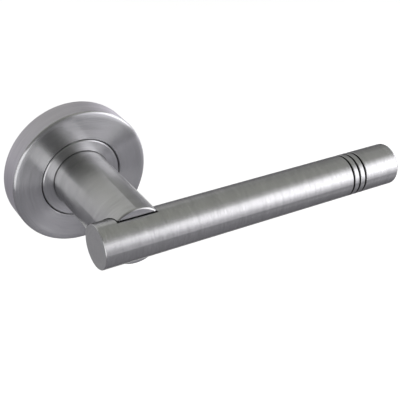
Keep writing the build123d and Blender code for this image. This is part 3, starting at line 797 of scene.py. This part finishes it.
# Painted shade: the tube's colour turns near black inside the neck's round and behind the lips, where shade
# falls in the seam.
seam_blur = 0.1
seam_full, seam_end = neck_front + 0.45, neck_front + 0.75
satin_tree = satin_bar.node_tree
satin_shader = satin_tree.nodes["Principled BSDF"]
seam_parts = add(satin_tree, "ShaderNodeSeparateXYZ")
seam_flat = add(satin_tree, "ShaderNodeVectorMath", {1: (1, 0, 1)}, operation="MULTIPLY")
seam_radius = add(satin_tree, "ShaderNodeVectorMath", operation="LENGTH")
seam_inside = add(satin_tree, "ShaderNodeMapRange", {"From Min": (neck_radius + seam_blur) * MM,
                                                     "From Max": (neck_radius - seam_blur) * MM})
seam_behind = add(satin_tree, "ShaderNodeMapRange", {"From Min": -seam_end * MM, "From Max": -seam_full * MM})
seam = add(satin_tree, "ShaderNodeMath", operation="MULTIPLY")
painted_seam_shade = add(satin_tree, "ShaderNodeMix", {7: (0.03, 0.03, 0.03, 1)}, data_type="RGBA")
link = satin_tree.links.new
place_on_bar = add(satin_tree, "ShaderNodeTexCoord").outputs["Object"]
link(place_on_bar, seam_parts.inputs[0])
link(place_on_bar, seam_flat.inputs[0])
link(seam_flat.outputs[0], seam_radius.inputs[0])
link(seam_radius.outputs["Value"], seam_inside.inputs["Value"])
link(seam_parts.outputs["Y"], seam_behind.inputs["Value"])
link(seam_inside.outputs["Result"], seam.inputs[0])
link(seam_behind.outputs["Result"], seam.inputs[1])
link(seam.outputs[0], painted_seam_shade.inputs[0])
link(satin_shader.inputs["Base Color"].links[0].from_socket, painted_seam_shade.inputs[6])
link(painted_seam_shade.outputs[2], satin_shader.inputs["Base Color"])
bar_axis = {"start": bar_middle, "along": (1, 0, 0), "side": (0, 1, 0)}


def reach_of(node):
    """Where a node starts and ends along the bar, in millimetres."""
    low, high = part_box(node)
    return low[0] / MM, high[0] / MM


tube_start, tube_end = reach_of("bar_tube")
bar_start, bar_end = reach_of("near_end_cap")[0], reach_of("far_end_cap")[1]
bar_wall = 2.0
bore_radius = bar_radius - bar_wall
plug_radius = bore_radius - press_gap
joint_round = 0.01
groove_count = 3
groove_width = 0.8
groove_depth = 0.8
groove_pitch = 2.75
last_groove_from_end = 16.5
groove_middles = bar_end - last_groove_from_end - groove_pitch * np.arange(groove_count)[::-1]
groove_corners = [
    (bar_radius - depth, middle + step * groove_width / 2)
    for middle in groove_middles
    for step, depth in ((-1, 0), (-1, groove_depth), (1, groove_depth), (1, 0))
]
tube_outline = [
    (bore_radius, tube_start),
    (bar_radius, tube_start),
    *groove_corners,
    (bar_radius, tube_end),
    (bore_radius, tube_end),
]
tube_rounds = [0.05, joint_round] + groove_count * [0.2, 0.1, 0.1, 0.2] + [joint_round, 0.05]
tube = turned("grip_tube", tube_outline, tube_rounds, arc_steps=5, **bar_axis)
place("grip_tube", tube, satin_bar, "lever", "satin_steel", "bar_tube")
tube_middles = middles_of(tube)
cut_from, cut_to = bar_radius - 0.15, bar_radius - groove_depth - 0.1
from_axis = np.hypot(tube_middles[:, 1] + bar_depth * MM, tube_middles[:, 2])
in_groove = (from_axis < cut_from * MM) & (from_axis > cut_to * MM)
in_groove &= np.abs(tube_middles[:, 0] - groove_middles.mean() * MM) < 2 * groove_pitch * MM
# Painted shade: the grooves' faces take the near-black steel.
second_finish(tube, painted_shade_steel, in_groove)

flat_margin = 0.0002 * MM
near_bevel = 0.25
near_end = reach_of("near_end_cap")[1]
near_outline = [
    (0, bar_start),
    (bar_radius - near_bevel, bar_start),
    (bar_radius, bar_start + near_bevel),
    (bar_radius, tube_start),
    (plug_radius, tube_start),
    (plug_radius, near_end),
    (0, near_end),
]
near_cap = turned("near_cap", near_outline, [0.1, 0.1, joint_round, 0.05, 0.3], arc_steps=5, **bar_axis)
place("near_cap", near_cap, satin_bar, "lever", "satin_steel", "near_end_cap")
second_finish(near_cap, faced_end, np.abs(middles_of(near_cap)[:, 0] - bar_start * MM) < flat_margin)

far_round = 1.2
far_start = reach_of("far_end_cap")[0]
far_outline = [
    (0, far_start),
    (plug_radius, far_start),
    (plug_radius, tube_end),
    (bar_radius, tube_end),
    (bar_radius, bar_end),
    (0, bar_end),
]
far_cap = turned("far_cap", far_outline, [0.3, 0.05, joint_round, far_round], arc_steps=9, **bar_axis)
place("far_cap", far_cap, satin_bar, "lever", "satin_steel", "far_end_cap")
second_finish(far_cap, faced_end, np.abs(middles_of(far_cap)[:, 0] - bar_end * MM) < flat_margin)


# Studio: a pale sheet of paper lies below and behind the lever and fills the picture. Plain softboxes stand
# to the right, to the left and behind, in a grey room that is a little greener above than below and dark
# round the camera.
floor_drop = 0.4
floor_left, floor_near, floor_far = -0.11, 0.12, 1.5
floor_corners = [
    (floor_left, floor_near, -floor_drop),
    (floor_far, floor_near, -floor_drop),
    (floor_far, floor_far, -floor_drop),
    (floor_left, floor_far, -floor_drop),
]
floor_mesh = bpy.data.meshes.new("floor")
floor_mesh.from_pydata(floor_corners, [], [(0, 1, 2, 3)])
floor = bpy.data.objects.new("floor", floor_mesh)
bpy.context.collection.objects.link(floor)
paper, tree, shader = finish_of("white_paper", (0.82, 0.82, 0.82), metallic=0.0, roughness=0.9)
fibre = speckle(tree, scale=60.0, detail=3.0)
tree.links.new(shade_of(tree, fibre, (0.81, 0.81, 0.81), (0.83, 0.83, 0.83)), shader.inputs["Base Color"])
paper_lift = 0.6
rays = add(tree, "ShaderNodeLightPath")
seen = add(tree, "ShaderNodeMath", operation="ADD")
seen_through = add(tree, "ShaderNodeMath", operation="ADD", use_clamp=True)
lift = add(tree, "ShaderNodeMath", {1: paper_lift}, operation="MULTIPLY")
tree.links.new(rays.outputs["Is Camera Ray"], seen.inputs[0])
tree.links.new(rays.outputs["Is Glossy Ray"], seen.inputs[1])
tree.links.new(seen.outputs[0], seen_through.inputs[0])
tree.links.new(rays.outputs["Is Transmission Ray"], seen_through.inputs[1])
tree.links.new(seen_through.outputs[0], lift.inputs[0])
tree.links.new(lift.outputs[0], shader.inputs["Emission Strength"])
shader.inputs["Emission Color"].default_value = (1, 1, 1, 1)
floor_mesh.materials.append(paper)

world = bpy.data.worlds.new("grey_room")
bpy.context.scene.world = world
world.use_nodes = True
tree = world.node_tree
sky_way = add(tree, "ShaderNodeTexCoord").outputs["Generated"]
height = add(tree, "ShaderNodeSeparateXYZ")
tree.links.new(sky_way, height.inputs[0])
room = shade_of(tree, height.outputs["Z"], (0.250, 0.246, 0.264), (0.348, 0.354, 0.324))


def way_of(azimuth, elevation):
    """The direction at an azimuth, counted from the room side towards the bar, and an elevation."""
    level = np.cos(elevation)
    return np.array([np.sin(azimuth) * level, -np.cos(azimuth) * level, np.sin(elevation)])


dark_way = way_of(*np.radians([-24, 36]))
dark_core, dark_rim = np.cos(np.radians([14, 36]))
dark_strength = 0.42
toward = add(tree, "ShaderNodeVectorMath", {1: dark_way}, operation="DOT_PRODUCT")
tree.links.new(sky_way, toward.inputs[0])
patch = add(tree, "ShaderNodeMapRange", {"From Min": dark_rim, "From Max": dark_core, "To Min": 1.0,
                                         "To Max": dark_strength}, interpolation_type="SMOOTHSTEP")
tree.links.new(toward.outputs["Value"], patch.inputs["Value"])
tree.links.new(room, tree.nodes["Background"].inputs["Color"])
tree.links.new(patch.outputs["Result"], tree.nodes["Background"].inputs["Strength"])


def softbox(name, azimuth, elevation, roll, width, height, brightness, colour=(1, 1, 1)):
    """A flat lamp that faces the lever. Its power is pi * its area * its brightness, where 1 is white."""
    lever_middle = (0.04, -0.035, 0)
    lamp_distance = 1.2
    lamp_data = bpy.data.lights.new(name, "AREA")
    lamp_data.shape = "RECTANGLE"
    lamp_data.size, lamp_data.size_y = width, height
    lamp_data.energy = brightness * np.pi * width * height
    lamp_data.color = colour
    lamp = bpy.data.objects.new(name, lamp_data)
    bpy.context.collection.objects.link(lamp)
    turn = Matrix.Rotation(np.radians(azimuth), 4, "Z") @ Matrix.Rotation(np.radians(90 - elevation), 4, "X")
    stand = Matrix.Translation((0, 0, lamp_distance)) @ Matrix.Rotation(np.radians(roll), 4, "Z")
    lamp.matrix_world = Matrix.Translation(lever_middle) @ turn @ stand
    lamp.visible_camera = False


key_white, side_white = (1.0, 0.985, 1.035), (1.0, 0.99, 1.03)
softbox("key", 49, 16.5, 11, 1.45, 0.96, 0.68, key_white)
softbox("key_top", 49, 23, 11, 1.45, 0.62, 0.32, key_white)
softbox("skirt", 49, -12.5, 11, 1.45, 0.3, 0.3, key_white)
softbox("side", 78, 4, -10, 2.2, 1.7, 0.3, side_white)
softbox("side_top", 78, 14, -10, 2.2, 1.0, 0.62, side_white)
softbox("side_low", 88, -27, 0, 1.6, 0.75, 0.3, side_white)
softbox("glint", 53, 1, 0, 0.4, 0.6, 1.0)
softbox("fill", -49, -2.5, -15, 1.9, 0.92, 1.05)
softbox("rear", 197, 20, 0, 1.8, 1.6, 0.32)

PHOTO_SIZE = 400
camera_azimuth, camera_elevation, camera_roll = np.radians([-32.8559, 31.5705, 2.9899])
camera_distance = 0.334852
camera_focus = 886.09
origin_pixel = np.array([70.654, 165.959])
sensor_width = 36.0
back_way = way_of(camera_azimuth, camera_elevation)
level_right = np.array([np.cos(camera_azimuth), np.sin(camera_azimuth), 0])
level_up = np.cross(back_way, level_right)
right_way = level_right * np.cos(camera_roll) + level_up * np.sin(camera_roll)
up_way = level_up * np.cos(camera_roll) - level_right * np.sin(camera_roll)
offset = (origin_pixel - PHOTO_SIZE / 2) / camera_focus * camera_distance
camera_place = camera_distance * back_way - offset[0] * right_way + offset[1] * up_way
camera_data = bpy.data.cameras.new("camera")
camera_data.lens = camera_focus / PHOTO_SIZE * sensor_width
camera_data.sensor_width = sensor_width
camera_data.clip_start = 0.01
camera = bpy.data.objects.new("camera", camera_data)
bpy.context.collection.objects.link(camera)
camera_rows = np.stack([right_way, up_way, back_way, camera_place], axis=1)
camera.matrix_world = Matrix([*camera_rows.tolist(), [0, 0, 0, 1]])
bpy.context.scene.camera = camera

bpy.context.scene.view_settings.view_transform = "Standard"
